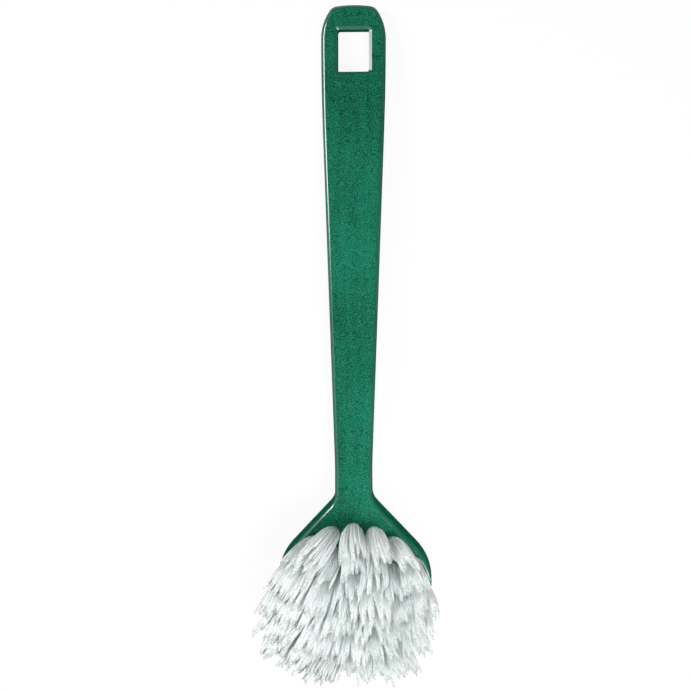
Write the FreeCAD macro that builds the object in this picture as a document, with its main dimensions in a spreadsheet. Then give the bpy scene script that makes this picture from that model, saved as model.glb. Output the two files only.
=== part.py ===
"""A dish brush lying on its back: one moulding for the handle and head, filled with bristle tufts.

The moulding is drawn in the handle's own frame: the head's centre is at x = 0, y = 0, the handle runs
along +Y, and its flat front is the plane z = 0. Past the neck the head bends back, so the bristles lean
away from the hand. Each tuft is a bundle folded in half over a flat wire anchor, which sits deep in a
six-sided hole with its ends on two of the hole's flats. At the end everything is turned as one into the
pose in which the brush rests on its back, with the middle of its footprint at the origin and +Z up.
"""

import FreeCAD, Part
import math
import os

import Sketcher

# Millimetres and degrees. A name that ends in share is a share of the size that its comment names.
SIZES = {
    # The handle, from the head's circle to its end.
    "handle_length": 194.0,
    "handle_width": 24.9,
    "handle_thickness": 6.5,
    "neck_width": 14.3,
    "neck_length": 7.0,
    "neck_overlap_share": 0.4,  # of the neck's length
    "neck_fillet_radius": 7.5,
    "neck_sweep_radius": 150.0,
    "side_sweep_radius": 975.0,
    "end_round_length": 12.7,
    "end_crown_radius": 46.0,
    "end_crown_share": 0.65,  # of the handle's width
    "end_corner_share": 0.6,  # of the handle's thickness
    "front_edge_share": 0.28,  # of the handle's thickness
    "back_edge_share": 0.44,  # of the handle's thickness
    # The rectangular hole that the brush hangs by.
    "hang_rail_width": 6.4,
    "hang_hole_length": 16.2,
    "hang_end_width": 9.6,
    "hang_corner_radius": 0.8,
    "hang_bevel_width": 1.15,
    "hang_bevel_depth": 0.65,
    # The head, and the bend between it and the handle.
    "head_thickness": 11.0,
    "rim_width": 4.6,
    "shoulder_rise": 6.8,
    "shoulder_radius_share": 0.75,  # of the head's radius
    "bend_angle": 14.0,
    "bend_offset": 0.5,
    "front_bend_radius": 40.0,
    "back_bend_radius": 60.0,
    # The tufts' holes, in rings about the head's centre.
    "tuft_hole_diameter": 5.2,
    "hole_wall": 2.4,
    "hole_floor": 3.0,
    "tilt_step_angle": 4.0,
    # The tufts, each a bundle that splits into pointed locks.
    "bristle_length": 27.5,
    "tuft_clearance": 0.05,
    "tuft_spacing": 0.5,
    "lock_inner_share": 0.7,  # of the stem's and the fan's radius to a flat
    "lock_width_share": 0.95,  # of the room between a lock's neighbours
    "lock_shoulder_share": 0.82,  # of the lock's length
    "core_length_share": 0.95,  # of the bristle's length
    # The flat wire anchors.
    "anchor_thickness": 0.4,
    "anchor_height": 2.0,
    # How far a cut runs past what it cuts.
    "cut_overrun": 8.0,
}

RING_NAMES = ("centre", "inner", "middle", "outer")
RING_COUNT = len(RING_NAMES) - 1
TUFTS_PER_RING_STEP = 6
LOCKS = 6
FULL_TURN = math.degrees(math.tau)
SAME_PLACE = 1e-4

# Sizes that follow from the sheet, as expressions.
ZERO = "0"
BEND = "(Sizes.bend_angle * 1 deg)"
TILT_STEP = "(Sizes.tilt_step_angle * 1 deg)"
HOLE_RADIUS = "(Sizes.tuft_hole_diameter / 2)"
HOLE_DEPTH = "(Sizes.head_thickness - Sizes.hole_floor)"
RING_PITCH = "(Sizes.tuft_hole_diameter + Sizes.hole_wall)"
HEAD_RADIUS = f"({RING_COUNT} * {RING_PITCH} + {HOLE_RADIUS} + Sizes.rim_width)"
SHOULDER_RADIUS = f"(Sizes.shoulder_radius_share * {HEAD_RADIUS})"
HANDLE_END = f"({HEAD_RADIUS} + Sizes.handle_length)"
WIDEST_Y = f"({HANDLE_END} - Sizes.end_round_length)"
HALF_WIDTH = "(Sizes.handle_width / 2)"
HALF_CROWN = f"(Sizes.end_crown_share * {HALF_WIDTH})"
HALF_NECK = "(Sizes.neck_width / 2)"
NECK_LOW_Y = f"({HEAD_RADIUS} + Sizes.shoulder_rise)"
NECK_HIGH_Y = f"({NECK_LOW_Y} + Sizes.neck_length)"
NECK_OVERLAP = "(Sizes.neck_overlap_share * Sizes.neck_length)"
BEND_Y = f"({HEAD_RADIUS} + Sizes.bend_offset)"
FACE_Z = f"(-{BEND_Y} * tan({BEND}))"
BACK_BEND_Y = f"({BEND_Y} + (Sizes.head_thickness / cos({BEND}) - Sizes.handle_thickness) / tan({BEND}))"
FAR_Y = f"({HANDLE_END} + Sizes.cut_overrun)"
NEAR_Y = f"(-{HEAD_RADIUS} - Sizes.cut_overrun)"
SIDE_X = f"({HEAD_RADIUS} + Sizes.cut_overrun)"
NEAR_Z = f"(({NEAR_Y} - {BEND_Y}) * tan({BEND}))"
FRONT_EDGE = "(Sizes.front_edge_share * Sizes.handle_thickness)"
BACK_EDGE = "(Sizes.back_edge_share * Sizes.handle_thickness)"
END_CORNER = "(Sizes.end_corner_share * Sizes.handle_thickness)"
HANG_HALF_WIDTH = f"({HALF_WIDTH} - Sizes.hang_rail_width)"
HANG_FAR_Y = f"({HANDLE_END} - Sizes.hang_end_width)"
HANG_NEAR_Y = f"({HANG_FAR_Y} - Sizes.hang_hole_length)"
FOLD = f"({HOLE_RADIUS} - Sizes.anchor_thickness / 2)"
ANCHOR_LOW = f"({FOLD} - {HOLE_DEPTH})"
ANCHOR_HIGH = f"({ANCHOR_LOW} + Sizes.anchor_height)"
HALF_WIRE = "(Sizes.anchor_thickness / 2)"
LOCK_SPAN = f"({FULL_TURN} deg / {2 * LOCKS})"
HALF_ANCHOR = f"({HOLE_RADIUS} * cos({LOCK_SPAN}))"
STEM_RADIUS = f"({HOLE_RADIUS} - Sizes.tuft_clearance)"
STEM_LOW = f"(Sizes.tuft_clearance - {HOLE_DEPTH})"
STEM_HIGH = f"({HOLE_RADIUS} * tan({RING_COUNT} * {TILT_STEP}) + Sizes.tuft_spacing)"
STEM_FLAT = f"({STEM_RADIUS} * cos({LOCK_SPAN}))"
TIP_PITCH = f"({RING_PITCH} + Sizes.bristle_length * sin({TILT_STEP}))"
FAN_FLAT = f"(({TIP_PITCH} - Sizes.tuft_spacing) / 2 * cos({LOCK_SPAN}))"

# A sketch numbers the points of a line or an arc from 1 up, and its own two axes from -1 down.
START, END, CENTRE = range(1, 4)
H_AXIS, V_AXIS = range(-1, -3, -1)
ORIGIN_POINT = (H_AXIS, START)
X_DIRECTION = FreeCAD.Vector(1, 0, 0)
Y_DIRECTION = FreeCAD.Vector(0, 1, 0)
Z_DIRECTION = FreeCAD.Vector(0, 0, 1)
NO_MOVE = FreeCAD.Vector(0, 0, 0)

doc = FreeCAD.newDocument("dish_brush")
sheet = doc.addObject("Spreadsheet::Sheet", "Sizes")


def fill_sheet():
    """Write each size into the sheet, beside its name and under its alias."""
    for row, (alias, size) in enumerate(SIZES.items(), start=1):
        sheet.set(f"A{row}", alias)
        sheet.set(f"B{row}", str(size))
        sheet.setAlias(f"B{row}", alias)
    doc.recompute()


def number(expression):
    """Return the present value of an expression, in millimetres or degrees."""
    result = sheet.evalExpression(expression)
    return float(getattr(result, "Value", result))


def point(x, y):
    """Return a point of a sketch from two expressions."""
    return FreeCAD.Vector(number(x), number(y), 0)


def origin_part(body, role):
    """Return the plane or axis of a body's origin that has the given role."""
    return next(part for part in body.Origin.OriginFeatures if part.Role == role)


def new_sketch(body, name, role, base=(), turn=ZERO, axis=Z_DIRECTION):
    """Add a sketch on an origin plane, moved by the base and turned about an axis of the plane."""
    sketch = body.newObject("Sketcher::SketchObject", name)
    sketch.AttachmentSupport = [(origin_part(body, role), "")]
    sketch.MapMode = "FlatFace"
    if turn != ZERO:
        sketch.AttachmentOffset = FreeCAD.Placement(NO_MOVE, FreeCAD.Rotation(axis, number(turn)))
        sketch.setExpression("AttachmentOffset.Rotation.Angle", turn)
    for letter, expression in zip("xyz", base):
        sketch.setExpression(f"AttachmentOffset.Base.{letter}", expression)
    return sketch


def constrain(sketch, kind, *where):
    """Add a geometric constraint."""
    sketch.addConstraint(Sketcher.Constraint(kind, *where))


def dimension(sketch, kind, expression, *where):
    """Add a dimension that follows an expression of the sheet's sizes."""
    index = sketch.addConstraint(Sketcher.Constraint(kind, *where, number(expression)))
    sketch.setExpression(f"Constraints[{index}]", expression)


def place_point(sketch, geometry, end, x, y):
    """Tie a point of the sketch to two expressions, or to an axis where one is zero."""
    for kind, expression, axis in (("DistanceX", x, V_AXIS), ("DistanceY", y, H_AXIS)):
        if expression == ZERO:
            constrain(sketch, "PointOnObject", geometry, end, axis)
        else:
            dimension(sketch, kind, expression, *ORIGIN_POINT, geometry, end)


def add_polygon(sketch, corners):
    """Draw a closed polygon with each corner tied to its two expressions."""
    points = [point(x, y) for x, y in corners]
    lines = [
        sketch.addGeometry(Part.LineSegment(here, there))
        for here, there in zip(points, points[1:] + points[:1])
    ]
    for line, following in zip(lines, lines[1:] + lines[:1]):
        constrain(sketch, "Coincident", line, END, following, START)
    for line, (x, y) in zip(lines, corners):
        place_point(sketch, line, START, x, y)


def add_arc(sketch, centre, begin, finish):
    """Draw the arc that runs anticlockwise about a centre from one point to another."""
    radius = centre.distanceToPoint(begin)
    angles = [math.atan2(place.y - centre.y, place.x - centre.x) for place in (begin, finish)]
    circle = Part.Circle(centre, Z_DIRECTION, radius)
    return sketch.addGeometry(Part.ArcOfCircle(circle, *angles))


def symmetric_pad(body, name, sketch, length):
    """Add material on both sides of a sketch."""
    feature = body.newObject("PartDesign::Pad", name)
    feature.Profile = sketch
    feature.SideType = "Symmetric"
    feature.setExpression("Length", length)
    return feature


def through_pocket(body, name, sketch):
    """Cut a sketch out of everything on both of its sides."""
    feature = body.newObject("PartDesign::Pocket", name)
    feature.Profile = sketch
    feature.Type = "ThroughAll"
    feature.SideType = "Symmetric"
    return feature


def edge_names(feature, wanted):
    """Return the names of a feature's edges that pass a test."""
    doc.recompute()
    shape = feature.Shape
    return [f"Edge{i}" for i, edge in enumerate(shape.Edges, start=1) if wanted(shape, edge)]


def round_edges(body, name, base, wanted, radius):
    """Round the edges of a feature that pass a test."""
    feature = body.newObject("PartDesign::Fillet", name)
    feature.Base = (base, edge_names(base, wanted))
    feature.setExpression("Radius", radius)
    return feature


def bevel_edges(body, name, base, wanted, size, other_size):
    """Bevel the edges of a feature that pass a test, by one size on each of the two faces that meet there."""
    feature = body.newObject("PartDesign::Chamfer", name)
    feature.Base = (base, edge_names(base, wanted))
    feature.ChamferType = "Two distances"
    feature.setExpression("Size", size)
    feature.setExpression("Size2", other_size)
    return feature


def polar_pattern(body, name, originals, axis, count):
    """Repeat features evenly about an axis."""
    feature = body.newObject("PartDesign::PolarPattern", name)
    feature.Originals = originals
    feature.Axis = axis
    feature.Angle = FULL_TURN
    feature.Occurrences = count
    body.Tip = feature
    return feature


def middle(edge):
    """Return the point halfway along an edge."""
    return edge.valueAt((edge.FirstParameter + edge.LastParameter) / 2)


def facing(face):
    """Return the upward part of a face's outward normal."""
    u_low, u_high, v_low, v_high = face.ParameterRange
    return face.normalAt((u_low + u_high) / 2, (v_low + v_high) / 2).z


def runs_between(shape, edge, side):
    """Tell whether an edge joins an upright face to a front face (side 1) or a back face (side -1)."""
    turns = sorted(facing(face) * side for face in shape.ancestorsOfType(edge, Part.Face))
    steep = math.cos(math.radians(FULL_TURN / 8))
    return len(turns) == 2 and abs(turns[0]) < steep and turns[1] > steep


def is_at(edge, direction, y, z):
    """Tell whether an edge runs along a direction and crosses x = 0 at the given place."""
    along = abs(edge.tangentAt(edge.FirstParameter).dot(direction)) > 1 - SAME_PLACE
    here = middle(edge)
    return along and abs(here.y - y) < SAME_PLACE and abs(here.z - z) < SAME_PLACE


def cross_tangent(first, first_radius, second, second_radius, side):
    """Return where the line that passes between two circles touches the first and the second."""
    between = second - first
    spread = math.acos((first_radius + second_radius) / between.Length)
    lean = math.atan2(between.y, between.x) + side * spread
    across = FreeCAD.Vector(math.cos(lean), math.sin(lean), 0)
    return first + across * first_radius, second - across * second_radius


def add_lines(sketch, points):
    """Draw the open chain of lines through some points."""
    lines = [sketch.addGeometry(Part.LineSegment(here, there)) for here, there in zip(points, points[1:])]
    for line, following in zip(lines, lines[1:]):
        constrain(sketch, "Coincident", line, END, following, START)
    return lines


def draw_handle_side(sketch):
    """Draw what lies right of the handle: its end, its long taper and the neck, closed by a frame."""
    end_y, widest_y = number(HANDLE_END), number(WIDEST_Y)
    crown_radius, sweep_radius = number("Sizes.end_crown_radius"), number("Sizes.side_sweep_radius")
    neck_radius = number("Sizes.neck_sweep_radius")

    top = point(ZERO, HANDLE_END)
    crown_centre = FreeCAD.Vector(0, end_y - crown_radius, 0)
    corner_x = number(HALF_CROWN)
    corner = FreeCAD.Vector(corner_x, crown_centre.y + math.sqrt(crown_radius**2 - corner_x**2), 0)
    widest = point(HALF_WIDTH, WIDEST_Y)
    inset, rise = widest.x - corner.x, corner.y - widest.y
    side_centre = FreeCAD.Vector(widest.x - (inset**2 + rise**2) / (2 * inset), widest_y, 0)
    sweep_centre = FreeCAD.Vector(widest.x - sweep_radius, widest_y, 0)
    neck = point(HALF_NECK, NECK_HIGH_Y)
    neck_centre = FreeCAD.Vector(neck.x + neck_radius, neck.y, 0)
    taper_low, taper_high = cross_tangent(neck_centre, neck_radius, sweep_centre, sweep_radius, 1)
    low_y = f"({NECK_LOW_Y} + {NECK_OVERLAP})"

    crown_arc = add_arc(sketch, crown_centre, corner, top)
    side_arc = add_arc(sketch, side_centre, widest, corner)
    sweep_arc = add_arc(sketch, sweep_centre, taper_high, widest)
    taper_line = sketch.addGeometry(Part.LineSegment(taper_high, taper_low))
    neck_arc = add_arc(sketch, neck_centre, taper_low, neck)
    frame = add_lines(sketch, [
        neck, point(HALF_NECK, low_y), point(SIDE_X, low_y), point(SIDE_X, FAR_Y), point(ZERO, FAR_Y), top,
    ])

    constrain(sketch, "Coincident", crown_arc, START, side_arc, END)
    constrain(sketch, "Tangent", side_arc, START, sweep_arc, END)
    constrain(sketch, "Tangent", sweep_arc, START, taper_line, START)
    constrain(sketch, "Tangent", taper_line, END, neck_arc, START)
    constrain(sketch, "Tangent", neck_arc, END, frame[0], START)
    constrain(sketch, "Coincident", frame[-1], END, crown_arc, END)
    constrain(sketch, "PointOnObject", crown_arc, CENTRE, V_AXIS)
    place_point(sketch, crown_arc, END, ZERO, HANDLE_END)
    dimension(sketch, "Radius", "Sizes.end_crown_radius", crown_arc)
    dimension(sketch, "DistanceX", HALF_CROWN, *ORIGIN_POINT, crown_arc, START)
    place_point(sketch, side_arc, START, HALF_WIDTH, WIDEST_Y)
    constrain(sketch, "Horizontal", side_arc, CENTRE, side_arc, START)
    dimension(sketch, "Radius", "Sizes.side_sweep_radius", sweep_arc)
    dimension(sketch, "Radius", "Sizes.neck_sweep_radius", neck_arc)
    place_point(sketch, frame[0], START, HALF_NECK, NECK_HIGH_Y)
    for line, x, y in zip(frame, (HALF_NECK, SIDE_X, SIDE_X, ZERO), (low_y, low_y, FAR_Y, FAR_Y)):
        place_point(sketch, line, END, x, y)


def draw_head_side(sketch):
    """Draw what lies right of the head: the neck, its fillet, the shoulder and the round, with a frame."""
    neck_radius = number("Sizes.neck_fillet_radius")
    head_radius, shoulder_radius = number(HEAD_RADIUS), number(SHOULDER_RADIUS)

    neck = point(HALF_NECK, NECK_LOW_Y)
    fillet_centre = FreeCAD.Vector(neck.x + neck_radius, neck.y, 0)
    round_centre = FreeCAD.Vector(head_radius - shoulder_radius, 0, 0)
    shoulder_high, shoulder_low = cross_tangent(fillet_centre, neck_radius, round_centre, shoulder_radius, -1)
    rim, foot = point(HEAD_RADIUS, ZERO), point(ZERO, f"(-{HEAD_RADIUS})")
    high_y, low_y = f"({NECK_HIGH_Y} - {NECK_OVERLAP})", f"({NEAR_Y} - Sizes.cut_overrun)"

    neck_arc = add_arc(sketch, fillet_centre, neck, shoulder_high)
    shoulder_line = sketch.addGeometry(Part.LineSegment(shoulder_high, shoulder_low))
    shoulder_arc = add_arc(sketch, round_centre, rim, shoulder_low)
    head_arc = add_arc(sketch, NO_MOVE, foot, rim)
    frame = add_lines(sketch, [
        foot, point(ZERO, low_y), point(SIDE_X, low_y), point(SIDE_X, high_y), point(HALF_NECK, high_y), neck,
    ])

    constrain(sketch, "Tangent", frame[-1], END, neck_arc, START)
    constrain(sketch, "Tangent", neck_arc, END, shoulder_line, START)
    constrain(sketch, "Tangent", shoulder_line, END, shoulder_arc, END)
    constrain(sketch, "Coincident", shoulder_arc, START, head_arc, END)
    constrain(sketch, "Coincident", head_arc, START, frame[0], START)
    place_point(sketch, neck_arc, START, HALF_NECK, NECK_LOW_Y)
    dimension(sketch, "Radius", "Sizes.neck_fillet_radius", neck_arc)
    place_point(sketch, shoulder_arc, START, HEAD_RADIUS, ZERO)
    constrain(sketch, "PointOnObject", shoulder_arc, CENTRE, H_AXIS)
    dimension(sketch, "Radius", SHOULDER_RADIUS, shoulder_arc)
    constrain(sketch, "Coincident", head_arc, CENTRE, *ORIGIN_POINT)
    constrain(sketch, "PointOnObject", head_arc, START, V_AXIS)
    for line, x, y in zip(frame, (ZERO, SIDE_X, SIDE_X, HALF_NECK), (low_y, low_y, high_y, high_y)):
        place_point(sketch, line, END, x, y)


def hole_corners():
    """Return the corners of a tuft's hole, with a flat towards the head's middle and one away from it."""
    corners = []
    for index in range(LOCKS):
        angle = f"(({2 * index + 1}) * {LOCK_SPAN})"
        corners.append((f"({HOLE_RADIUS} * sin({angle}))", f"({HOLE_RADIUS} * cos({angle}))"))
    return corners


def build_moulding():
    """Build the handle and head as one solid, with the hanging hole and every tuft's hole."""
    body = doc.addObject("PartDesign::Body", "handle_and_head")

    side = new_sketch(body, "side_profile", "YZ_Plane")
    back_z, near_back_z = "(-Sizes.handle_thickness)", f"({NEAR_Z} - Sizes.head_thickness / cos({BEND}))"
    add_polygon(side, [
        (FAR_Y, ZERO), (BEND_Y, ZERO), (NEAR_Y, NEAR_Z),
        (NEAR_Y, near_back_z), (BACK_BEND_Y, back_z), (FAR_Y, back_z),
    ])
    slab = symmetric_pad(body, "slab", side, f"2 * {SIDE_X}")
    front = round_edges(
        body, "front_bend", slab,
        lambda shape, edge: is_at(edge, X_DIRECTION, number(BEND_Y), 0),
        "Sizes.front_bend_radius",
    )
    back = round_edges(
        body, "back_bend", front,
        lambda shape, edge: is_at(edge, X_DIRECTION, number(BACK_BEND_Y), number(back_z)),
        "Sizes.back_bend_radius",
    )

    handle_plan = new_sketch(body, "handle_plan", "XY_Plane")
    draw_handle_side(handle_plan)
    head_plan = new_sketch(body, "head_plan", "XY_Plane", (ZERO, ZERO, FACE_Z), BEND, X_DIRECTION)
    draw_head_side(head_plan)
    right_sides = [through_pocket(body, f"{plan.Name}_right", plan) for plan in (handle_plan, head_plan)]
    left = body.newObject("PartDesign::Mirrored", "left_sides")
    left.Originals = right_sides
    left.MirrorPlane = (origin_part(body, "YZ_Plane"), [""])
    body.Tip = left

    def is_end_corner(shape, edge):
        upright = abs(edge.tangentAt(edge.FirstParameter).dot(Z_DIRECTION)) > 1 - SAME_PLACE
        here = middle(edge)
        return upright and here.y > number(WIDEST_Y) and abs(abs(here.x) - number(HALF_CROWN)) < SAME_PLACE

    corners = round_edges(body, "end_corners", left, is_end_corner, END_CORNER)
    fronts = round_edges(
        body, "front_edges", corners, lambda shape, edge: runs_between(shape, edge, 1), FRONT_EDGE
    )
    backs = round_edges(
        body, "back_edges", fronts, lambda shape, edge: runs_between(shape, edge, -1), BACK_EDGE
    )

    hang = new_sketch(body, "hang_outline", "XY_Plane")
    add_polygon(hang, [
        (f"(-{HANG_HALF_WIDTH})", HANG_NEAR_Y), (HANG_HALF_WIDTH, HANG_NEAR_Y),
        (HANG_HALF_WIDTH, HANG_FAR_Y), (f"(-{HANG_HALF_WIDTH})", HANG_FAR_Y),
    ])
    opening = through_pocket(body, "hang_hole", hang)

    def is_in_hang_hole(edge):
        here = middle(edge)
        inside = abs(here.x) < number(HANG_HALF_WIDTH) + SAME_PLACE
        return inside and number(HANG_NEAR_Y) - SAME_PLACE < here.y < number(HANG_FAR_Y) + SAME_PLACE

    def is_hang_corner(shape, edge):
        return is_in_hang_hole(edge) and abs(edge.tangentAt(edge.FirstParameter).z) > 1 - SAME_PLACE

    def is_hang_front(shape, edge):
        return is_in_hang_hole(edge) and runs_between(shape, edge, 1)

    def is_hang_back(shape, edge):
        return is_in_hang_hole(edge) and runs_between(shape, edge, -1)

    hang_corners = round_edges(body, "hang_corners", opening, is_hang_corner, "Sizes.hang_corner_radius")
    bevel_width, bevel_depth = "Sizes.hang_bevel_width", "Sizes.hang_bevel_depth"
    back_bevels = bevel_edges(body, "hang_back_bevels", hang_corners, is_hang_back, bevel_width, bevel_depth)
    bevel_edges(body, "hang_front_bevels", back_bevels, is_hang_front, bevel_depth, bevel_width)

    head_axis = None
    for ring, ring_name in enumerate(RING_NAMES):
        reach = f"({ring} * {RING_PITCH})"
        mouth = (f"({reach} * cos({BEND}))", f"({FACE_Z} + {reach} * sin({BEND}))")
        turn = f"({BEND} - {ring} * {TILT_STEP})"
        mouth_plan = new_sketch(body, f"{ring_name}_mouth", "XY_Plane", (ZERO, *mouth), turn, X_DIRECTION)
        add_polygon(mouth_plan, hole_corners())
        hole = body.newObject("PartDesign::Pocket", f"{ring_name}_hole")
        hole.Profile = mouth_plan
        hole.SideType = "Two sides"
        hole.setExpression("Length", HOLE_DEPTH)
        hole.setExpression("Length2", "Sizes.cut_overrun")
        if ring == 0:
            head_axis = (mouth_plan, ["N_Axis"])
        else:
            count = ring * TUFTS_PER_RING_STEP
            polar_pattern(body, f"{ring_name}_holes", [hole], head_axis, count)
    return body


def add_frustum(body, name, low, high):
    """Add a tapering block between two levels, each a height, its reach along X and its half width."""
    block = body.newObject("PartDesign::AdditiveWedge", name)
    block.AttachmentSupport = [(origin_part(body, "XY_Plane"), "")]
    block.MapMode = "FlatFace"
    block.AttachmentOffset = FreeCAD.Placement(NO_MOVE, FreeCAD.Rotation(X_DIRECTION, FULL_TURN / 4))
    for prefix, level_name, (height, near, far, half_width) in (("", "min", low), ("2", "max", high)):
        block.setExpression(f"Y{level_name}", height)
        block.setExpression(f"X{prefix}min", near)
        block.setExpression(f"X{prefix}max", far)
        block.setExpression(f"Z{prefix}min", f"-{half_width}")
        block.setExpression(f"Z{prefix}max", half_width)
    return block


def add_lock(body, name, length, root, shoulder):
    """Add one lock of bristles, which widens from its root to its shoulder and then runs to a point.

    The root and the shoulder are each the lock's near and far reach along X and its half width.
    """
    share = "Sizes.lock_shoulder_share"
    middles = [f"(({near} + {far}) / 2)" for near, far, half_width in (root, shoulder)]
    tip = f"({middles[0]} + ({middles[1]} - {middles[0]}) / {share})"
    shoulder_height = f"({STEM_HIGH} + {share} * ({length} - {STEM_HIGH}))"
    lower = add_frustum(body, f"{name}_fan", (STEM_HIGH, *root), (shoulder_height, *shoulder))
    upper = add_frustum(body, f"{name}_point", (shoulder_height, *shoulder), (length, tip, tip, ZERO))
    return [lower, upper]


def build_tuft():
    """Build one tuft along +Z from the middle of its hole's mouth, its anchor's slot along X."""
    body = doc.addObject("PartDesign::Body", "tuft_centre")

    stem = body.newObject("PartDesign::AdditivePrism", "stem")
    stem.AttachmentSupport = [(origin_part(body, "XY_Plane"), "")]
    stem.MapMode = "FlatFace"
    stem.AttachmentOffset = FreeCAD.Placement(NO_MOVE, FreeCAD.Rotation(Z_DIRECTION, number(LOCK_SPAN)))
    stem.setExpression("AttachmentOffset.Base.z", STEM_LOW)
    stem.Polygon = LOCKS
    stem.setExpression("Circumradius", STEM_RADIUS)
    stem.setExpression("Height", f"({STEM_HIGH} - {STEM_LOW})")

    shoulder_flat = f"({STEM_FLAT} + Sizes.lock_shoulder_share * ({FAN_FLAT} - {STEM_FLAT}))"
    rings = []
    for flat in (STEM_FLAT, shoulder_flat):
        near = f"(Sizes.lock_inner_share * {flat})"
        half_width = f"(Sizes.lock_width_share * {near} * tan({LOCK_SPAN}))"
        rings.append((near, flat, half_width))
    lock = add_lock(body, "lock", "Sizes.bristle_length", *rings)
    polar_pattern(body, "locks", lock, (origin_part(body, "Z_Axis"), [""]), LOCKS)

    cores = [f"(Sizes.lock_width_share * {near} * sqrt(1 / 2))" for near, flat, half_width in rings]
    core_length = "(Sizes.core_length_share * Sizes.bristle_length)"
    add_lock(body, "core", core_length, *((f"(-{half})", half, half) for half in cores))

    slot = new_sketch(body, "anchor_slot", "YZ_Plane")
    add_polygon(slot, [
        (f"(-{HALF_WIRE})", ANCHOR_LOW), (HALF_WIRE, ANCHOR_LOW),
        (HALF_WIRE, ANCHOR_HIGH), (f"(-{HALF_WIRE})", ANCHOR_HIGH),
    ])
    through_pocket(body, "slot", slot)
    return body


def copy_tuft(tuft, name):
    """Add another tuft with the first one's shape."""
    body = doc.addObject("PartDesign::Body", name)
    clone = doc.addObject("PartDesign::FeatureBase", f"{name}_clone")
    body.Group = [clone]
    clone.BaseFeature = tuft
    body.Tip = clone
    return body


def build_anchor(name):
    """Add one flat wire anchor."""
    wire = doc.addObject("Part::Box", name)
    wire.setExpression("Length", f"2 * {HALF_ANCHOR}")
    wire.setExpression("Width", "Sizes.anchor_thickness")
    wire.setExpression("Height", "Sizes.anchor_height")
    return wire


def head_placement():
    """Return the place of the head's own frame, with +Z out of the bristle face at its centre."""
    return FreeCAD.Placement(Z_DIRECTION * number(FACE_Z), FreeCAD.Rotation(X_DIRECTION, number(BEND)))


def rest_placement():
    """Return the placement that lays the moulding's two ends on the floor, bristles up."""
    edge = number(BACK_EDGE)
    head_round = FreeCAD.Vector(0, edge - number(HEAD_RADIUS), edge - number("Sizes.head_thickness"))
    near = head_placement().multVec(head_round)
    far = FreeCAD.Vector(0, number(HANDLE_END) - edge, edge - number("Sizes.handle_thickness"))
    lean = math.atan2(far.z - near.z, far.y - near.y)
    turn = FreeCAD.Rotation(X_DIRECTION, -math.degrees(lean))
    return FreeCAD.Placement(Z_DIRECTION * (edge - turn.multVec(far).z), turn)


def tuft_placement(ring, index):
    """Return a tuft's place in the moulding's frame: its ring, its step round it and its tilt."""
    step = FULL_TURN / max(1, ring * TUFTS_PER_RING_STEP)
    around = FreeCAD.Placement(NO_MOVE, FreeCAD.Rotation(Z_DIRECTION, FULL_TURN / 4 + index * step))
    tilt = FreeCAD.Rotation(Y_DIRECTION, ring * number(TILT_STEP))
    return head_placement() * around * FreeCAD.Placement(X_DIRECTION * ring * number(RING_PITCH), tilt)


def check(pieces):
    """Stop if any object of the document failed, or any piece is empty or unsound."""
    for item in doc.Objects:
        if "Invalid" in item.State or "Error" in item.State:
            raise RuntimeError(f"{item.Label}: {item.State}")
    for piece in pieces:
        if piece.Shape.isNull() or not piece.Shape.isValid():
            raise RuntimeError(f"{piece.Label}: no sound shape")


def main():
    """Build the pieces, lay the brush down, and write one file for each piece."""
    fill_sheet()
    moulding = build_moulding()
    first_tuft = build_tuft()
    doc.recompute()

    places = {moulding: FreeCAD.Placement()}
    anchor_low = FreeCAD.Vector(-number(HALF_ANCHOR), -number(HALF_WIRE), number(ANCHOR_LOW))
    wires = []
    for ring, ring_name in enumerate(RING_NAMES):
        count = max(1, ring * TUFTS_PER_RING_STEP)
        digits = len(str(count))
        for index in range(count):
            name = f"tuft_{ring_name}_{index + 1:0{digits}d}"
            tuft = copy_tuft(first_tuft, name) if ring else first_tuft
            places[tuft] = tuft_placement(ring, index)
            wire = build_anchor(f"wire_{ring_name}_{index + 1}")
            wire.Placement = places[tuft] * FreeCAD.Placement(anchor_low, FreeCAD.Rotation())
            wires.append(wire)
    anchors = doc.addObject("Part::Compound", "tuft_anchors")
    anchors.Links = wires
    places[anchors] = FreeCAD.Placement()

    rest = rest_placement()
    for piece, place in places.items():
        piece.Placement = rest * place
    doc.recompute()
    boxes = [piece.Shape.BoundBox for piece in places]
    shift = -(min(box.YMin for box in boxes) + max(box.YMax for box in boxes)) / 2
    for piece, place in places.items():
        piece.Placement = FreeCAD.Placement(Y_DIRECTION * shift, FreeCAD.Rotation()) * rest * place
    doc.recompute()

    check(places)
    os.makedirs("parts", exist_ok=True)
    for piece in places:
        piece.Shape.exportStep(f"parts/{piece.Label}.step")


main()
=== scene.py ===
"""The looks of the dish brush: a green moulding and its white bristle tufts on a pale studio floor.

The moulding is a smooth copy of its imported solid, and each tuft's solid is replaced by a fan of filaments
that leaves the same hole along the same axis. All lengths are metres.
"""

import logging
import math
from dataclasses import dataclass
from enum import Enum
from typing import Any

import bpy
import numpy as np
from mathutils import Matrix, Vector


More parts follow.
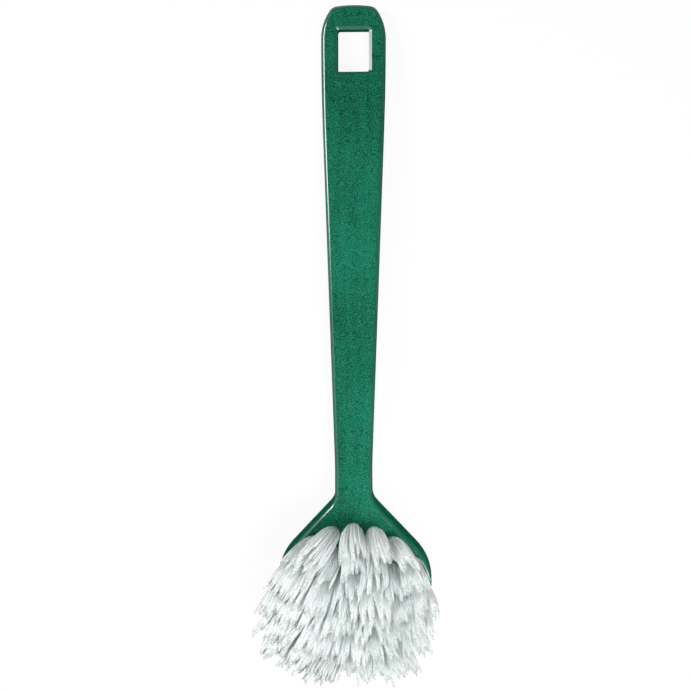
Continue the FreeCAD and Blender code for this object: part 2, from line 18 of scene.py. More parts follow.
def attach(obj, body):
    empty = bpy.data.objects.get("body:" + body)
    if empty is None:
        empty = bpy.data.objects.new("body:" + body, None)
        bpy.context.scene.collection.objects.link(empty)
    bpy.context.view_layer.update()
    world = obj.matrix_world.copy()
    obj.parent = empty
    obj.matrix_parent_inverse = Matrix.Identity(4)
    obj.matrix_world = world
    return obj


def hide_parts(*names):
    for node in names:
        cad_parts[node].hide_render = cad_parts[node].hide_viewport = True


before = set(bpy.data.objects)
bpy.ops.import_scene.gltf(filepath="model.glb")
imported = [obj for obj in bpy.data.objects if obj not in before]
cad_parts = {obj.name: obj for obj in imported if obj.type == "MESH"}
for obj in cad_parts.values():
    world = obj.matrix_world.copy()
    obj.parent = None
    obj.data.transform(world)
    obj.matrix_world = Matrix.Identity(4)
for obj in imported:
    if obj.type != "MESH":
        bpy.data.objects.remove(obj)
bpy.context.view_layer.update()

LOG = logging.getLogger("dish_brush")
BODY = "root"
FRAME_PIXELS = 691
STRAND_TONE = "strand_tone"
STRAND_ALONG = "strand_along"
GOLDEN_ANGLE = math.pi * (3.0 - math.sqrt(5.0))

Colour = tuple[float, float, float, float]
Point = tuple[float, float, float]
Span = tuple[float, float]

WHITE: Colour = (1.0, 1.0, 1.0, 1.0)

# The middle of a noise pattern's range, and spans that most of the pattern lies in
NOISE_MIDDLE = 0.5
NOISE_SPAN: Span = (0.3, 0.7)
NARROW_NOISE_SPAN: Span = (0.35, 0.65)


class Ring(Enum):
    """The rings of tufts about the head's centre; the value is the number of pitches out."""

    CENTRE = 0
    INNER = 1
    MIDDLE = 2
    OUTER = 3

    @property
    def count(self) -> int:
        """Number of tufts in the ring: six for each pitch out, and one at the centre."""
        return max(1, 6 * self.value)

    def node(self, index: int) -> str:
        """Name the CAD node of one tuft.

        Args:
            index: the tuft's step round the ring, from 0.

        Returns:
            The node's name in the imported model.
        """
        if self is Ring.CENTRE:
            return "tuft_centre"
        digits = len(str(self.count))
        return f"tuft_{self.name.lower()}_{index + 1:0{digits}d}"


class NodeGraph:
    """A node tree with short calls that add nodes and join them."""

    noise_detail = 2.0

    def __init__(self, tree: bpy.types.NodeTree) -> None:
        """Start from an empty tree.

        Args:
            tree: the tree of a material or of the world.
        """
        self.tree = tree
        tree.nodes.clear()

    def add(self, kind: str, inputs: dict[str | int, Any] | None = None, **settings: Any) -> bpy.types.Node:
        """Add a node.

        Args:
            kind: the node's type, without the ShaderNode in front.
            inputs: values, or sockets to link, by the input's name or number.
            settings: the node's own options.

        Returns:
            The new node.
        """
        node = self.tree.nodes.new(f"ShaderNode{kind}")
        for name, value in settings.items():
            setattr(node, name, value)
        for name, value in (inputs or {}).items():
            socket = node.inputs[name]
            if isinstance(value, bpy.types.NodeSocket):
                self.tree.links.new(value, socket)
            else:
                socket.default_value = value
        return node

    def maths(self, operation: str, *values: Any) -> bpy.types.NodeSocket:
        """Work out a sum or another operation.

        Args:
            operation: the operation's name.
            values: numbers or sockets, in the node's order.

        Returns:
            The result's socket.
        """
        return self.add("Math", dict(enumerate(values)), operation=operation).outputs[0]

    def spread(self, value: Any, span: Span, result: Span = (0.0, 1.0)) -> bpy.types.NodeSocket:
        """Map a range smoothly onto another, held at both ends.

        Args:
            value: the socket to map.
            span: start and end of the range that is read.
            result: what the start and the end become.

        Returns:
            The mapped socket.
        """
        inputs = {
            "Value": value,
            "From Min": span[0],
            "From Max": span[1],
            "To Min": result[0],
            "To Max": result[1],
        }
        return self.add("MapRange", inputs, interpolation_type="SMOOTHSTEP").outputs["Result"]

    def between(self, share: Any, first: Any, second: Any) -> bpy.types.NodeSocket:
        """Mix two numbers.

        Args:
            share: how much of the second number there is.
            first: number or socket at 0.
            second: number or socket at 1.

        Returns:
            The mixed number's socket.
        """
        return self.add("Mix", {0: share, 2: first, 3: second}).outputs[0]

    def blend(self, share: Any, first: Any, second: Any) -> bpy.types.NodeSocket:
        """Mix two colours.

        Args:
            share: how much of the second colour there is.
            first: colour or socket at 0.
            second: colour or socket at 1.

        Returns:
            The mixed colour's socket.
        """
        return self.add("Mix", {0: share, 6: first, 7: second}, data_type="RGBA").outputs[2]

    def noise(self, place: Any, scale: float, stretch: Point = (1.0, 1.0, 1.0)) -> bpy.types.NodeSocket:
        """Add a noise pattern.

        Args:
            place: the coordinates' socket.
            scale: patches to a metre.
            stretch: scale of each axis before the pattern.

        Returns:
            The pattern's socket, from 0 to 1.
        """
        mapped = self.add("Mapping", {"Vector": place, "Scale": stretch}).outputs["Vector"]
        node = self.add("TexNoise", {"Vector": mapped, "Scale": scale, "Detail": self.noise_detail})
        return node.outputs[0]


def new_material(name: str) -> tuple[bpy.types.Material, NodeGraph]:
    """Make an empty node material.

    Args:
        name: the material's name.

    Returns:
        The material and its graph.
    """
    material = bpy.data.materials.new(name)
    material.use_nodes = True
    return material, NodeGraph(material.node_tree)


@dataclass(frozen=True)
class MouldedGreen:
    """Deep green moulded plastic: a fine grain on the flat faces, polished rounded edges, and dull walls
    darkened by painted shade.

    Flats, edges and walls are told apart by their lift, which is how squarely they face up or down.
    """

    dark: Colour = (0.0015, 0.040, 0.022, 1.0)
    light: Colour = (0.018, 0.282, 0.159, 1.0)
    fleck: Colour = (0.20, 0.48, 0.38, 1.0)

    # Patterns
    grain_scale: float = 2500.0
    grain_stretch: Point = (0.85, 1.2, 1.0)
    grain_contrast: float = 3.1
    cloud_scale: float = 22.0
    cloud_tones: Span = (0.36, 0.64)
    flow_scale: float = 500.0
    flow_stretch: Point = (1.0, 0.06, 1.0)
    flow_tones: Span = (-0.06, 0.06)
    fleck_scale: float = 110.0
    fleck_size: float = 0.022
    fleck_cut: float = 0.8
    fleck_strength: float = 0.6

    # Where flats, edges and walls meet, by their lift
    flat_lift: Span = (0.93, 0.97)
    gloss_lift: Span = (0.6, 0.75)
    rough_lift: Span = (0.35, 0.6)
    # Lifts over which the walls' painted shade fades out towards the flats
    shade_lift: Span = (0.2, 0.7)

    # Surface
    flat_roughness: float = 0.25
    grain_roughness: Span = (-0.07, 0.07)
    edge_roughness: float = 0.13
    wall_roughness: float = 0.65
    index: float = 1.8
    flat_specular: float = 0.03
    edge_specular: float = 0.9
    wall_specular: float = 0.0
    # Painted shade: tone taken off the steep walls so that they render darker
    wall_shade: float = -0.12
    bump_strength: float = 0.35
    bump_height: float = 0.00003

    def material(self) -> bpy.types.Material:
        """Build the finish.

        Returns:
            The material.
        """
        material, graph = new_material("moulded_green")
        place = graph.add("TexCoord")
        here = place.outputs["Object"]
        upright = graph.add("SeparateXYZ", {0: place.outputs["Normal"]}).outputs["Z"]
        lift = graph.maths("ABSOLUTE", upright)
        flat = graph.spread(lift, self.flat_lift)
        grain = graph.noise(here, self.grain_scale, self.grain_stretch)
        base = self.base_colour(graph, here, lift, flat, grain)

        sides = graph.spread(lift, self.rough_lift, (self.wall_roughness, self.edge_roughness))
        uneven = graph.maths("MULTIPLY", graph.spread(grain, NOISE_SPAN, self.grain_roughness), flat)
        rough = graph.maths("ADD", graph.between(flat, sides, self.flat_roughness), uneven)
        gloss = graph.spread(lift, self.gloss_lift, (self.wall_specular, self.edge_specular))
        gloss = graph.between(flat, gloss, self.flat_specular)
        relief = graph.maths("MULTIPLY", grain, flat)
        bump = graph.add(
            "Bump", {"Height": relief, "Strength": self.bump_strength, "Distance": self.bump_height}
        )
        shader = graph.add("BsdfPrincipled", {
            "Base Color": base,
            "Roughness": rough,
            "Normal": bump.outputs["Normal"],
            "Specular IOR Level": gloss,
            "IOR": self.index,
        })
        graph.add("OutputMaterial", {"Surface": shader.outputs[0]})
        return material

    def base_colour(
        self, graph: NodeGraph, here: Any, lift: Any, flat: Any, grain: Any
    ) -> bpy.types.NodeSocket:
        """Mix the plastic's colour from its grain, clouds, flow lines, painted shade on the walls and a few
        pale flecks.

        Args:
            graph: the material's graph.
            here: the coordinates' socket.
            lift: how squarely the surface faces up or down.
            flat: 1 on the flat faces and 0 elsewhere.
            grain: the grain's pattern.

        Returns:
            The colour's socket.
        """
        clouds = graph.noise(here, self.cloud_scale)
        flow = graph.noise(here, self.flow_scale, self.flow_stretch)
        mottle = graph.maths("MULTIPLY", graph.maths("SUBTRACT", grain, NOISE_MIDDLE), self.grain_contrast)
        mottle = graph.maths("MULTIPLY", mottle, flat)
        tone = graph.maths("ADD", mottle, graph.spread(clouds, NOISE_SPAN, self.cloud_tones))
        tone = graph.maths("ADD", tone, graph.spread(flow, NARROW_NOISE_SPAN, self.flow_tones))
        # Painted shade: darken the steep walls
        tone = graph.maths("ADD", tone, graph.spread(lift, self.shade_lift, (self.wall_shade, 0.0)))
        base = graph.blend(tone, self.dark, self.light)

        cells = graph.add("TexVoronoi", {"Vector": here, "Scale": self.fleck_scale})
        near = graph.maths("LESS_THAN", cells.outputs["Distance"], self.fleck_size)
        lot = graph.add("SeparateColor", {0: cells.outputs["Color"]}).outputs[0]
        flecks = graph.maths("MULTIPLY", near, graph.maths("GREATER_THAN", lot, self.fleck_cut))
        return graph.blend(graph.maths("MULTIPLY", flecks, self.fleck_strength), base, self.fleck)


@dataclass(frozen=True)
class WhiteFilament:
    """Drawn white filament: each strand has its own tone, with painted shade that turns its root a darker
    green-grey and greys its tip.
    """

    bright: Colour = (0.96, 0.992, 0.988, 1.0)
    dull: Colour = (0.905, 0.95, 0.945, 1.0)
    # Painted shade: the strands turn a darker green-grey towards the head, where they crowd into their holes
    root: Colour = (0.45, 0.58, 0.53, 1.0)
    root_span: Span = (0.0, 0.25)
    # Painted shade: the last bit of each strand is greyed, as a dark line along the tips
    end: Colour = (0.66, 0.69, 0.68, 1.0)
    end_span: Span = (0.975, 1.0)
    streak_scale: float = 900.0
    streak_tones: Span = (-0.2, 0.2)
    streak_roughness: float = 0.3
    roughness: float = 0.48
    specular: float = 0.4

    def material(self) -> bpy.types.Material:
        """Build the finish.

        Returns:
            The material.
        """
        material, graph = new_material("white_filament")
        tone = graph.add("Attribute", attribute_name=STRAND_TONE).outputs["Fac"]
        along = graph.add("Attribute", attribute_name=STRAND_ALONG).outputs["Fac"]
        here = graph.add("TexCoord").outputs["Object"]
        streak = graph.spread(graph.noise(here, self.streak_scale), NOISE_SPAN, self.streak_tones)
        base = graph.blend(graph.maths("ADD", tone, streak), self.dull, self.bright)
        # Painted shade: darker green-grey towards the root
        base = graph.blend(graph.spread(along, self.root_span), self.root, base)
        # Painted shade: grey at the tip
        base = graph.blend(graph.spread(along, self.end_span), base, self.end)
        uneven = graph.maths("MULTIPLY", streak, self.streak_roughness)
        shader = graph.add("BsdfPrincipled", {
            "Base Color": base,
            "Roughness": graph.maths("ADD", self.roughness, uneven),
            "Specular IOR Level": self.specular,
        })
        graph.add("OutputMaterial", {"Surface": shader.outputs[0]})
        return material


@dataclass(frozen=True)
class AnchorSteel:
    """Flat stainless wire with fine drawing lines."""

    bright: Colour = (0.56, 0.56, 0.54, 1.0)
    worn: Colour = (0.40, 0.40, 0.39, 1.0)
    line_scale: float = 4000.0
    line_stretch: Point = (0.05, 0.05, 1.0)
    line_roughness: Span = (0.25, 0.4)

    def material(self) -> bpy.types.Material:
        """Build the finish.

        Returns:
            The material.
        """
        material, graph = new_material("anchor_steel")
        here = graph.add("TexCoord").outputs["Object"]
        lines = graph.noise(here, self.line_scale, self.line_stretch)
        shader = graph.add("BsdfPrincipled", {
            "Base Color": graph.blend(graph.spread(lines, NARROW_NOISE_SPAN), self.worn, self.bright),
            "Roughness": graph.spread(lines, NOISE_SPAN, self.line_roughness),
            "Metallic": 1.0,
        })
        graph.add("OutputMaterial", {"Surface": shader.outputs[0]})
        return material


@dataclass(frozen=True)
class PaleFloor:
    """A pale floor that the eye sees as white, with the object's shadow kept on it."""

    bounce: Colour = (0.8, 0.8, 0.8, 1.0)
    shade: Colour = (0.11, 0.11, 0.11, 1.0)
    glow: float = 0.91

    def material(self) -> bpy.types.Material:
        """Build the finish.

        Returns:
            The material.
        """
        material, graph = new_material("pale_floor")
        rays = graph.add("LightPath").outputs
        seen = graph.maths("MAXIMUM", rays["Is Camera Ray"], rays["Is Glossy Ray"])
        seen = graph.maths("MAXIMUM", seen, rays["Is Transmission Ray"])
        plain = graph.add("BsdfDiffuse", {"Color": self.bounce}).outputs[0]
        shaded = graph.add("BsdfDiffuse", {"Color": self.shade}).outputs[0]
        white = graph.add("Emission", {"Color": WHITE, "Strength": self.glow}).outputs[0]
        shown = graph.add("AddShader", {0: shaded, 1: white}).outputs[0]
        surface = graph.add("MixShader", {0: seen, 1: plain, 2: shown}).outputs[0]
        graph.add("OutputMaterial", {"Surface": surface})
        return material


def deselect_all() -> None:
    """Leave edit mode and select nothing."""
    if bpy.context.object and bpy.context.object.mode != "OBJECT":
        bpy.ops.object.mode_set(mode="OBJECT")
    bpy.ops.object.select_all(action="DESELECT")


def pick(piece: bpy.types.Object) -> None:
    """Select one object alone and make it active.

    Args:
        piece: the object.
    """
    deselect_all()
    piece.select_set(True)
    bpy.context.view_layer.objects.active = piece


def place_in_scene(name: str, data: bpy.types.ID) -> bpy.types.Object:
    """Make an object and put it in the scene.

    Args:
        name: the object's name.
        data: its mesh, light or camera.

    Returns:
        The object.
    """
    piece = bpy.data.objects.new(name, data)
    bpy.context.scene.collection.objects.link(piece)
    return piece


def coat(piece: bpy.types.Object, material: bpy.types.Material) -> None:
    """Give a piece its only material.

    Args:
        piece: the object.
        material: its finish.
    """
    piece.data.materials.clear()
    piece.data.materials.append(material)


@dataclass
class Moulding:
    """The handle and head, one moulding."""

    node: str = "handle_and_head"
    slot: str = "green_plastic"
    merge_distance: float = 0.000002
    smooth_angle: float = math.radians(28.0)
    finish: MouldedGreen = MouldedGreen()

    def build(self) -> bpy.types.Object:
        """Make a smooth copy of the solid and dress it.

        Returns:
            The moulding's object.
        """
        piece = place_in_scene("moulding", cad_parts[self.node].data.copy())
        pick(piece)
        bpy.ops.object.mode_set(mode="EDIT")
        bpy.ops.mesh.select_all(action="SELECT")
        bpy.ops.mesh.customdata_custom_splitnormals_clear()
        bpy.ops.mesh.remove_doubles(threshold=self.merge_distance)
        bpy.ops.object.mode_set(mode="OBJECT")
        bpy.ops.object.shade_smooth_by_angle(angle=self.smooth_angle)
        weighted = piece.modifiers.new("even_shading", "WEIGHTED_NORMAL")
        weighted.keep_sharp = True
        bpy.ops.object.modifier_apply(modifier=weighted.name)
        self.dress(piece)
        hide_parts(self.node)
        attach(piece, BODY)
        return piece

    def dress(self, piece: bpy.types.Object) -> None:
        """Coat the moulding in green plastic."""
        coat(piece, self.finish.material())


@dataclass(frozen=True)
class Filament:
    """One filament of unit height and radius, which every strand of every tuft copies."""

    sides: int = 5
    spans: int = 6
    tip_share: float = 0.75

    def model(self) -> bpy.types.Object:
        """Model the filament from a circle that is extruded span by span and drawn in at its tip.

        Returns:
            The filament's object.
        """
        deselect_all()
        bpy.ops.mesh.primitive_circle_add(vertices=self.sides, radius=1.0, fill_type="NGON")
        bpy.ops.object.mode_set(mode="EDIT")
        for _ in range(self.spans):
            step = (0.0, 0.0, 1.0 / self.spans)
            bpy.ops.mesh.extrude_region_move(TRANSFORM_OT_translate={"value": step})
        bpy.ops.transform.resize(value=(self.tip_share, self.tip_share, 1.0))
        bpy.ops.mesh.select_all(action="SELECT")
        bpy.ops.mesh.normals_make_consistent(inside=False)
        bpy.ops.object.mode_set(mode="OBJECT")
        master = bpy.context.object
        master.name = "filament"
        return master


@dataclass
class BristleField:
    """The tufts of the head: flat fans of filaments, each out of a hole of its own.

    A tuft's own axes lie in the head's face: the first one points the way the tuft falls and droops, and
    the second one runs across its fan. Shares and places in a tuft are counted in its half width and its
    full length.
    """

    slot: str = "bristle"
    seed: int = 41

    # The holes in the head's face
    head_centre: Point = (0.0, -0.093892, 0.01546)
    head_lean: float = math.radians(9.7072)
    ring_pitch: float = 0.0076
    tilt_step: float = math.radians(4.0)
    hole_radius: float = 0.00225
    root_depth: float = 0.004

    # The filaments
    length: float = 0.0275
    length_shake: float = 0.05
    filament_radius: float = 0.00026
    radius_shake: float = 0.08
    filaments: int = 380
    tone_middle: float = 0.6
    tone_shake: float = 0.28
    smooth_angle: float = math.radians(80.0)

    # How far the tips fall to the left, to the right and down the head
    left_fall: float = 0.0102
    right_fall: float = 0.0050
    left_sag: float = 0.0016
    low_growth: float = 0.35
    top_ease: float = 0.003
    bottom_ease: float = 0.030
    down_fall: float = 0.0076
    down_growth: float = 0.0033
    down_curve: float = 0.0024
    fall_power: float = 2.8
    fall_shake: float = 0.0009
    droop: float = 0.010

    # The flat fan that a tuft opens into
    fan_half_width: float = 0.0059
    fan_half_depth: float = 0.0028
    fan_power: float = 0.75
    top_narrowing: float = 0.12
    spot_shake: float = 0.02
    sheet_edge: float = 0.995
    sheet_reach: float = 1.1
    wobble: float = 0.00012
    curl: float = 0.0003
    stray_share: float = 0.002
    stray_reach: float = 0.0010

    # The pointed teeth at the fan's end, and the partings between them
    teeth: int = 7
    tooth_widths: Span = (0.5, 1.5)
    tooth_depths: Span = (0.10, 0.25)
    tooth_peak: float = 0.6
    tooth_shake: float = 0.02
    tooth_limit: float = 1.09
    tooth_spread: float = 0.06
    notch_share: float = 0.25
    notch_depths: Span = (0.08, 0.26)
    gather: float = 0.1
    gather_power: float = 3.0
    parting_share: float = 0.55
    parting_place: float = 0.6
    parting_width: float = 0.0016
    parting_reach: float = 0.25
    end_slope: float = 0.085
    end_level: float = 0.6
    end_shake: float = 0.009
    short_fall: float = 0.0075

    filament: Filament = Filament()
    finish: WhiteFilament = WhiteFilament()

    @property
    def reach(self) -> float:
        """How far from the head's centre the outer ring's holes are."""
        return Ring.OUTER.value * self.ring_pitch

    def mouth(self, ring: Ring, index: int) -> tuple[np.ndarray, np.ndarray]:
        """Find a tuft's hole on the head's face.

        Args:
            ring: the tuft's ring.
            index: its step round the ring.

        Returns:
            The hole's centre in the face, and the hole's axis.
        """
        turn = math.pi / 2 + index * math.tau / ring.count
        outward = np.array([math.cos(turn), math.sin(turn), 0.0])
        tilt = ring.value * self.tilt_step
        axis = outward * math.sin(tilt) + np.array([0.0, 0.0, math.cos(tilt)])
        return outward * ring.value * self.ring_pitch, axis

    def fall(self, mouth: np.ndarray) -> np.ndarray:
        """Say how far a tuft's tip falls sideways and down the head, seen square to the face.

        Args:
            mouth: the hole's centre in the face.

        Returns:
            The tip's shift from the hole's centre.
        """
        height = mouth[1] / self.reach
        ease = self.top_ease + (self.bottom_ease - self.top_ease) * (1.0 - height) / 2
        leftward = max(0.0, -mouth[0] / self.reach)
        most = self.left_fall if leftward else self.right_fall
        most *= 1.0 + self.low_growth * max(0.0, -height)
        side = most * (self.reach + ease) / self.reach * mouth[0] / (abs(mouth[0]) + ease)
        down = self.down_fall - self.down_growth * height - self.down_curve * height ** 2
        return np.array([side, -down - self.left_sag * leftward, 0.0])

    def disc(self, dice: np.random.Generator) -> np.ndarray:
        """Spread a tuft's filaments evenly over a unit disc, slightly shaken.

        Args:
            dice: the tuft's random numbers.

        Returns:
            One row of two coordinates for each filament.
        """
        number = np.arange(self.filaments) + 0.5
        radius = np.sqrt(number / self.filaments)
        angle = number * GOLDEN_ANGLE + dice.uniform(0.0, math.tau)
        points = np.stack([radius * np.cos(angle), radius * np.sin(angle)], axis=1)
        return points + dice.normal(0.0, self.spot_shake, points.shape)

    def sheet(self, spots: np.ndarray) -> np.ndarray:
        """Press a unit disc into a square, so that a round bundle becomes an even, flat sheet.

        Args:
            spots: the filaments' places in the disc.

        Returns:
            Their places in the square, from about -1 to 1 each way.
        """
        across = np.clip(spots[:, 1], -self.sheet_edge, self.sheet_edge)
        chord = np.sqrt(1.0 - across ** 2)
        even = (np.arcsin(across) + across * chord) * 2.0 / math.pi
        return np.stack([np.clip(spots[:, 0] / chord, -self.sheet_reach, self.sheet_reach), even], axis=1)

    def toothed_ends(
        self, sheet: np.ndarray, calm: float, dice: np.random.Generator
    ) -> tuple[np.ndarray, np.ndarray]:
        """Cut the fan's end into pointed teeth of uneven width, some short, on a slope along its fall.

        Args:
            sheet: the filaments' places in the sheet.
            calm: share of the full unevenness.
            dice: the tuft's random numbers.

        Returns:
            Each filament's length as a share of the full one, and its way to the middle of its tooth.
        """
        edges = np.concatenate([[0.0], np.cumsum(dice.uniform(*self.tooth_widths, self.teeth))])
        edges = 2.0 * self.sheet_reach * edges / edges[-1] - self.sheet_reach
        across = sheet[:, 1] + dice.normal(0.0, self.tooth_shake, self.filaments)
        across = np.clip(across, -self.tooth_limit, self.tooth_limit)
        tooth = np.searchsorted(edges, across) - 1
        middle = (edges[:-1] + edges[1:]) / 2
        local = (across - middle[tooth]) / (np.diff(edges)[tooth] / 2)
        peak = dice.uniform(-self.tooth_peak, self.tooth_peak, self.teeth)[tooth]
        slope = np.where(local > peak, (local - peak) / (1.0 - peak), (peak - local) / (1.0 + peak))

        reach = dice.normal(0.0, self.tooth_spread, self.teeth)
        notch = dice.random(self.teeth) < self.notch_share
        reach -= notch * dice.uniform(*self.notch_depths, self.teeth)
        depth = dice.uniform(*self.tooth_depths, self.teeth)
        uneven = reach[tooth] - depth[tooth] * slope - self.end_slope * (sheet[:, 0] + self.end_level)
        uneven += dice.normal(0.0, self.end_shake, self.filaments)
        return 1.0 + calm * uneven, middle[tooth] - sheet[:, 1]

    def fan(
        self, width: float, spots: np.ndarray, inward: np.ndarray, rise: np.ndarray, dice: np.random.Generator
    ) -> np.ndarray:
        """Open a tuft from its round hole into a flat fan with drawn-in teeth and at most one parting.

        Args:
            width: the fan's half width.
            spots: the filaments' places in the disc.
            inward: each filament's way to the middle of its tooth.
            rise: share of the full length at each point of each strand.
            dice: the tuft's random numbers.

        Returns:
            The points' places beside the tuft's middle line, along its fall and across it.
        """
        sheet = self.sheet(spots)
        spread = np.array([self.fan_half_depth, width]) - self.hole_radius
        wide = sheet * spread + dice.normal(0.0, self.wobble, spots.shape)
        stray = dice.random(self.filaments) < self.stray_share
        wide[stray] += dice.normal(0.0, self.stray_reach, (int(stray.sum()), 2))
        curl = dice.normal(0.0, self.curl, spots.shape)
        away = sheet[:, 1] - dice.uniform(-self.parting_place, self.parting_place)
        parting = self.parting_width * (dice.random() < self.parting_share)
        drawn = np.zeros(spots.shape)
        drawn[:, 1] = inward * self.fan_half_width * self.gather
        drawn[:, 1] += parting * np.sign(away) * np.exp(-np.abs(away) / self.parting_reach)

        flat = (spots * self.hole_radius)[:, None, :] + wide[:, None, :] * rise[:, :, None] ** self.fan_power
        flat += drawn[:, None, :] * rise[:, :, None] ** self.gather_power
        return flat + curl[:, None, :] * np.sin(np.pi * np.clip(rise, 0.0, 1.0))[:, :, None]

    def strands(
        self, mouth: np.ndarray, axis: np.ndarray, levels: np.ndarray, dice: np.random.Generator
    ) -> np.ndarray:
        """Lay out a tuft's strands over the head's face.

        Args:
            mouth: the hole's centre in the face.
            axis: the hole's axis.
            levels: heights along a strand, from 0 at the hole's mouth to 1 at its tip, and -1 at its root.
            dice: the tuft's random numbers.

        Returns:
            The strands' points, by strand, level and axis.
        """
        fall = self.fall(mouth) + np.append(dice.normal(0.0, self.fall_shake, 2), 0.0)
        spots = self.disc(dice)
        calm = min(1.0, self.short_fall / float(np.linalg.norm(fall)))
        share, inward = self.toothed_ends(self.sheet(spots), calm, dice)
        rise = np.clip(levels, 0.0, None)[None, :] * share[:, None]
        upright = math.sqrt(self.length ** 2 - float(fall @ fall)) * dice.normal(1.0, self.length_shake)
        narrowing = 1.0 - self.top_narrowing * max(0.0, mouth[1]) / self.reach
        flat = self.fan(self.fan_half_width * narrowing, spots, inward, rise, dice)

        seen = fall - np.array([0.0, self.droop, 0.0])
        ahead = seen / np.linalg.norm(seen)
        across = np.array([-ahead[1], ahead[0], 0.0])
        straight = axis / axis[2]
        bend = fall - straight * upright * np.array([1.0, 1.0, 0.0])
        root = np.clip(-levels, 0.0, None)[None, :, None] * self.root_depth
        points = mouth + flat @ np.stack([ahead, across])
        points += straight * upright * rise[:, :, None] - axis * root
        return points + bend * rise[:, :, None] ** self.fall_power

    def bundle(self, ring: Ring, index: int, master: bpy.types.Mesh) -> bpy.types.Object:
        """Copy the filament along every strand of one tuft, as one mesh.

        Args:
            ring: the tuft's ring.
            index: its step round the ring.
            master: the filament's mesh.

        Returns:
            The tuft's object.
        """
        dice = np.random.default_rng([self.seed, ring.value, index])
        unit = np.array([vertex.co for vertex in master.vertices])
        corners = len(unit)
        spans = self.filament.spans
        level = np.rint(unit[:, 2] * spans).astype(int)
        levels = np.concatenate([[-1.0], np.linspace(0.0, 1.0, spans)])
        lines = self.strands(*self.mouth(ring, index), levels, dice)
        radius = self.filament_radius * dice.normal(1.0, self.radius_shake, self.filaments)
        skin = np.concatenate([unit[:, :2], np.zeros((corners, 1))], axis=1)
        points = lines[:, level, :] + radius[:, None, None] * skin[None, :, :]
        turn = np.array(Matrix.Rotation(self.head_lean, 3, "X"))
        points = points @ turn.T + np.array(self.head_centre)
        faces = [
            [corner + strand * corners for corner in polygon.vertices]
            for strand in range(self.filaments) for polygon in master.polygons
        ]

        mesh = bpy.data.meshes.new(f"bristles_{ring.name.lower()}_{index + 1:02d}")
        mesh.from_pydata(points.reshape(-1, 3), [], faces)
        tone = np.clip(dice.normal(self.tone_middle, self.tone_shake, self.filaments), 0.0, 1.0)
        along = np.clip(levels, 0.0, None)[level]
        marks = {STRAND_TONE: np.repeat(tone, corners), STRAND_ALONG: np.tile(along, self.filaments)}
        for name, values in marks.items():
            mark = mesh.attributes.new(name, "FLOAT", "POINT")
            mark.data.foreach_set("value", values.astype(np.float32))
        piece = place_in_scene(mesh.name, mesh)
        pick(piece)
        bpy.ops.object.shade_smooth_by_angle(angle=self.smooth_angle)
        return piece

    def build(self) -> list[bpy.types.Object]:
        """Build every tuft and dress them all.

        Returns:
            The tufts' objects.
        """
        master = self.filament.model()
        pieces = []
        for ring in Ring:
            for index in range(ring.count):
                piece = self.bundle(ring, index, master.data)
                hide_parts(ring.node(index))
                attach(piece, BODY)
                pieces.append(piece)
        bpy.data.objects.remove(master)
        self.dress(pieces)
        return pieces

    def dress(self, pieces: list[bpy.types.Object]) -> None:
        """Coat every tuft in the one filament finish.

        Args:
            pieces: the tufts' objects.
        """
        material = self.finish.material()
        for piece in pieces:
            coat(piece, material)


@dataclass
class Anchors:
    """The wire anchors in the tufts' folds, which keep their solids."""

    node: str = "tuft_anchors"
    slot: str = "anchor_wire"
    finish: AnchorSteel = AnchorSteel()

    def build(self) -> bpy.types.Object:
        """Take the anchors' solids as they are and dress them.

        Returns:
            The anchors' object.
        """
        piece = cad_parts[self.node]
        self.dress(piece)
        return piece

    def dress(self, piece: bpy.types.Object) -> None:
        """Coat the anchors in drawn steel."""
        coat(piece, self.finish.material())


@dataclass(frozen=True)
class Lamp:
    """One soft area lamp."""

    name: str
    place: Point
    aim: Point
    width: float
    height: float
    power: float
    spread: float = math.pi

    def build(self) -> bpy.types.Object:
        """Hang the lamp.

        Returns:
            The lamp's object.
        """
        light = bpy.data.lights.new(self.name, "AREA")
        light.shape = "RECTANGLE"
        light.size, light.size_y = self.width, self.height
        light.energy = self.power
        light.spread = self.spread
        lamp = place_in_scene(self.name, light)
        lamp.location = self.place
        lamp.rotation_euler = (Vector(self.aim) - Vector(self.place)).to_track_quat("-Z", "Y").to_euler()
        return lamp


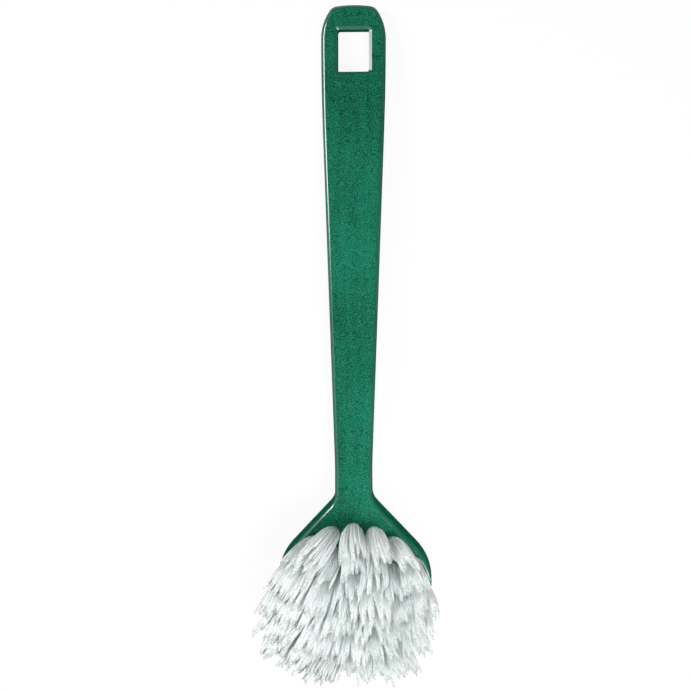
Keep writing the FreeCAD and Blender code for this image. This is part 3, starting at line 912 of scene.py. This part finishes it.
@dataclass
class Studio:
    """The floor, the soft light and the camera at the photograph's viewing angle."""

    floor_size: float = 30.0
    floor: PaleFloor = PaleFloor()

    # The camera
    target: Point = (-0.003477, -0.001628, 0.007)
    distance: float = 0.640
    lean_right: float = math.radians(3.0)
    lean_back: float = math.radians(4.3)
    roll: float = math.radians(-0.2438)
    pixels_per_metre: float = 2564.1
    sensor: float = 36.0

    # The room's light; white bristles pass it on many times
    overhead: Point = (-0.38, -0.05, 0.90)
    overhead_span: Span = (0.52, 0.90)
    overhead_strength: float = 0.62
    horizon_strength: float = 0.08
    white_bounces: int = 12
    lamps: tuple[Lamp, ...] = (
        Lamp("key_lamp", (-0.45, 0.24, 0.40), (0.0, 0.08, 0.0), 0.30, 0.26, 1.6),
        Lamp("right_lamp", (0.34, -0.30, 0.42), (0.0, -0.10, 0.03), 0.30, 0.30, 0.75),
        Lamp("head_lamp", (0.14, -0.22, 0.54), (0.0, -0.10, 0.03), 0.40, 0.16, 0.195, math.radians(50.0)),
    )

    def build_floor(self) -> bpy.types.Object:
        """Lay the floor under the brush.

        Returns:
            The floor's object.
        """
        deselect_all()
        bpy.ops.mesh.primitive_plane_add(size=self.floor_size)
        floor = bpy.context.object
        floor.name = "floor"
        floor.data.materials.append(self.floor.material())
        return floor

    def build_sky(self) -> None:
        """Make the room: bright overhead and to the left, and dim elsewhere."""
        world = bpy.data.worlds.new("room")
        bpy.context.scene.world = world
        world.use_nodes = True
        graph = NodeGraph(world.node_tree)
        direction = graph.add("TexCoord").outputs["Generated"]
        middle = Vector(self.overhead).normalized()
        near = graph.add("VectorMath", {0: direction, 1: middle}, operation="DOT_PRODUCT").outputs["Value"]
        strength = graph.spread(near, self.overhead_span, (self.horizon_strength, self.overhead_strength))
        shader = graph.add("Background", {"Color": WHITE, "Strength": strength})
        graph.add("OutputWorld", {"Surface": shader.outputs[0]})

    def build_camera(self) -> bpy.types.Object:
        """Set the camera over the brush, nearly square to its handle.

        Returns:
            The camera's object.
        """
        data = bpy.data.cameras.new("camera")
        data.sensor_width = self.sensor
        data.lens = self.pixels_per_metre * self.distance * self.sensor / FRAME_PIXELS
        camera = place_in_scene("camera", data)
        back = Vector((math.tan(self.lean_right), math.tan(self.lean_back), 1.0)).normalized()
        right = Vector((0.0, 1.0, 0.0)).cross(back).normalized()
        turn = Matrix((right, back.cross(right), back)).transposed()
        turn = turn @ Matrix.Rotation(self.roll, 3, "Z")
        camera.matrix_world = Matrix.Translation(Vector(self.target) + back * self.distance) @ turn.to_4x4()
        bpy.context.scene.camera = camera
        return camera

    def build(self) -> None:
        """Build everything round the brush."""
        bpy.context.scene.view_settings.view_transform = "Standard"
        bpy.context.scene.cycles.diffuse_bounces = self.white_bounces
        self.build_floor()
        self.build_sky()
        for lamp in self.lamps:
            lamp.build()
        self.build_camera()


def main() -> None:
    """Set the studio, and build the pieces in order."""
    logging.basicConfig(level=logging.INFO, format="%(name)s: %(message)s")
    Studio().build()
    pieces = [Moulding().build(), *BristleField().build(), Anchors().build()]
    for piece in pieces:
        LOG.info("%s: %d faces", piece.name, len(piece.data.polygons))


if __name__ == "__main__":
    main()
